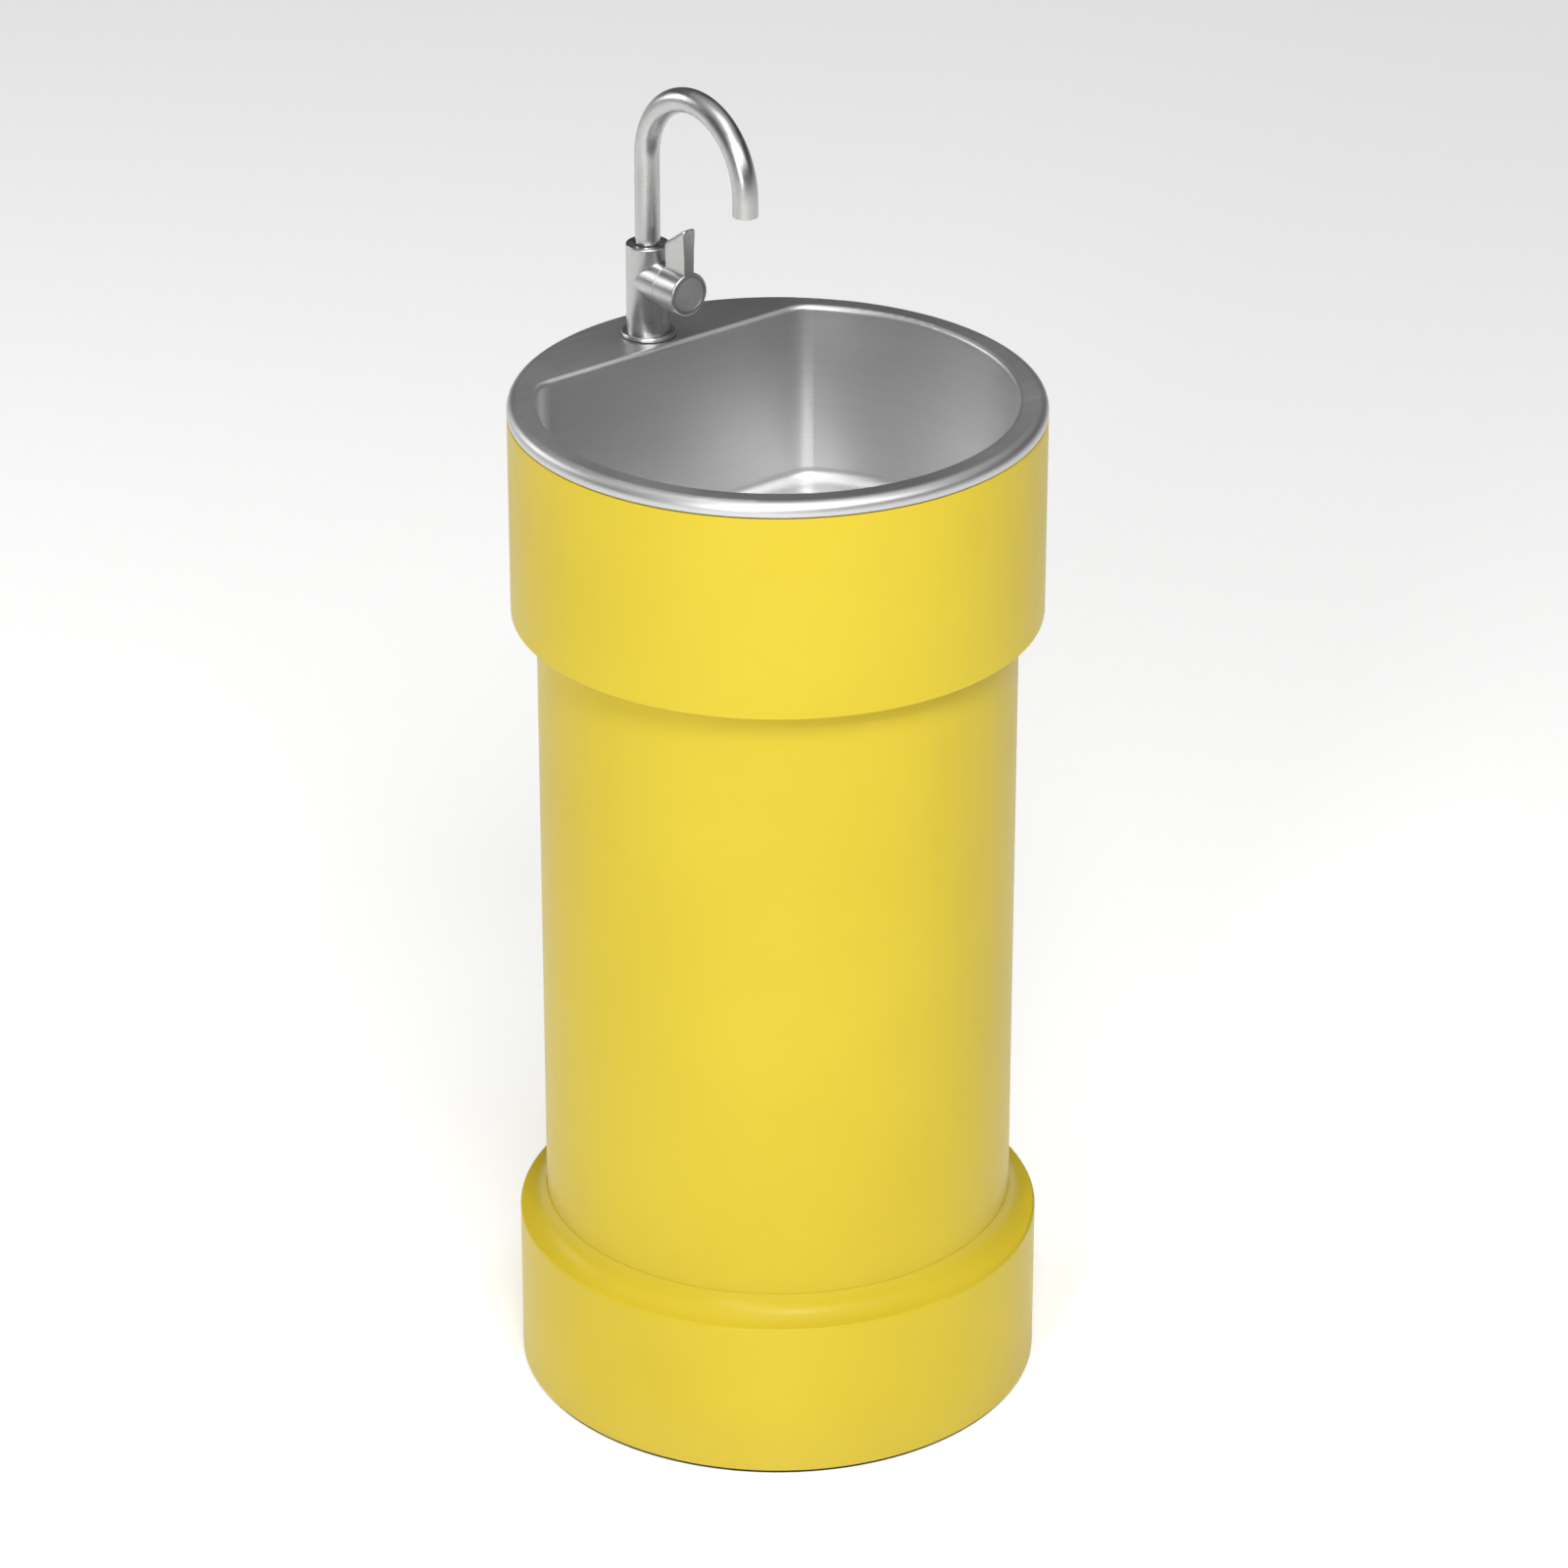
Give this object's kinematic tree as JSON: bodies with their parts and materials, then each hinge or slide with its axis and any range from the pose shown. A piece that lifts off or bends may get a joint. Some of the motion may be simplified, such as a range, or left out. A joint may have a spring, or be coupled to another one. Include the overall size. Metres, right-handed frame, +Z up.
{
  "type": "pedestal wash station",
  "caption": "Round pedestal wash station: wide plinth, straight column, wider collar, D-shaped steel bowl and a gooseneck tap with a side lever.",
  "frame": {"origin": "centre of the pedestal on the floor", "axes": "+Z up, the user stands at -Y, the tap is at +Y, +X is to the user's right"},
  "size_m": [0.4239, 0.424, 1.0705],
  "materials": {
    "yellow_coat": "gloss",
    "stainless_sheet": "satin",
    "tap_steel": "brushed",
    "tap_cap": "satin",
    "zinc_steel": "satin",
    "brass": "satin",
    "black_rubber": "matte",
    "white_plastic": "matte",
    "grey_plastic": "matte",
    "ceramic": "gloss",
    "braided_hose": "satin"
  },
  "bodies": {
    "pedestal": {"base_plinth": "yellow_coat", "basin_collar": "yellow_coat", "column_tube": "yellow_coat", "service_cover": "yellow_coat", "foot_ring": "black_rubber", "floor_ring": "zinc_steel", "plinth_screws": "zinc_steel", "collar_screws": "zinc_steel", "service_frame": "zinc_steel", "service_cover_screws": "zinc_steel", "basin_clips": "zinc_steel", "basin_clip_screws": "zinc_steel", "sink_basin": "stainless_sheet", "rim_gasket": "black_rubber", "waste_cup": "stainless_sheet", "waste_flange_seal": "black_rubber", "waste_under_seal": "black_rubber", "waste_locknut": "grey_plastic", "trap_inlet_washer": "black_rubber", "trap_inlet_pipe": "white_plastic", "trap_inlet_nut": "white_plastic", "trap_body": "white_plastic", "trap_cup_seal": "black_rubber", "trap_cup": "white_plastic", "trap_outlet_washer": "black_rubber", "trap_outlet_nut": "white_plastic", "drain_pipe": "white_plastic", "drain_clip": "grey_plastic", "tap_base_seal": "black_rubber", "tap_flange": "tap_steel", "tap_shank": "brass", "shank_washer": "black_rubber", "backing_plate": "zinc_steel", "shank_nut": "brass", "tap_body": "tap_steel", "swivel_bush": "grey_plastic", "spout_seal_rings": "black_rubber", "spout_grub_screw": "zinc_steel", "valve_cartridge": "brass", "cartridge_nut": "brass", "fixed_disc": "ceramic", "supply_hose": "braided_hose", "hose_sleeves": "zinc_steel", "hose_nipple": "brass", "hose_nut": "brass", "stop_valve_body": "brass", "stop_valve_bracket": "zinc_steel", "bracket_nut": "brass"},
    "spout": {"spout_tube": "tap_steel", "aerator_housing": "grey_plastic", "aerator_insert": "white_plastic"},
    "lever": {"lever_handle": "tap_steel", "lever_cap": "tap_cap", "lever_screw": "zinc_steel", "valve_spindle": "brass", "moving_disc": "ceramic"},
    "stop_valve_lever": {"stop_valve_handle": "zinc_steel", "stop_valve_stem": "brass", "stop_valve_ball": "brass"},
    "strainer": {"strainer_basket": "stainless_sheet"}
  },
  "joints": [
    {"name": "spout_swivel", "type": "hinge", "parent": "pedestal", "child": "spout", "pos_m": [0, 0.1625, 0.95], "axis": [0, 0, 1], "range_deg": [-175, 175]},
    {"name": "lever_turn", "type": "hinge", "parent": "pedestal", "child": "lever", "pos_m": [0, 0.1225, 0.899], "axis": [0, -1, 0], "range_deg": [0, 90]},
    {"name": "stop_valve_turn", "type": "hinge", "parent": "pedestal", "child": "stop_valve_lever", "pos_m": [0, 0.143, 0.118], "axis": [0, 1, 0], "range_deg": [0, 90]},
    {"name": "strainer_lift", "type": "slide", "parent": "pedestal", "child": "strainer", "axis": [0, 0, 1], "range_m": [0, 0.24]}
  ]
}
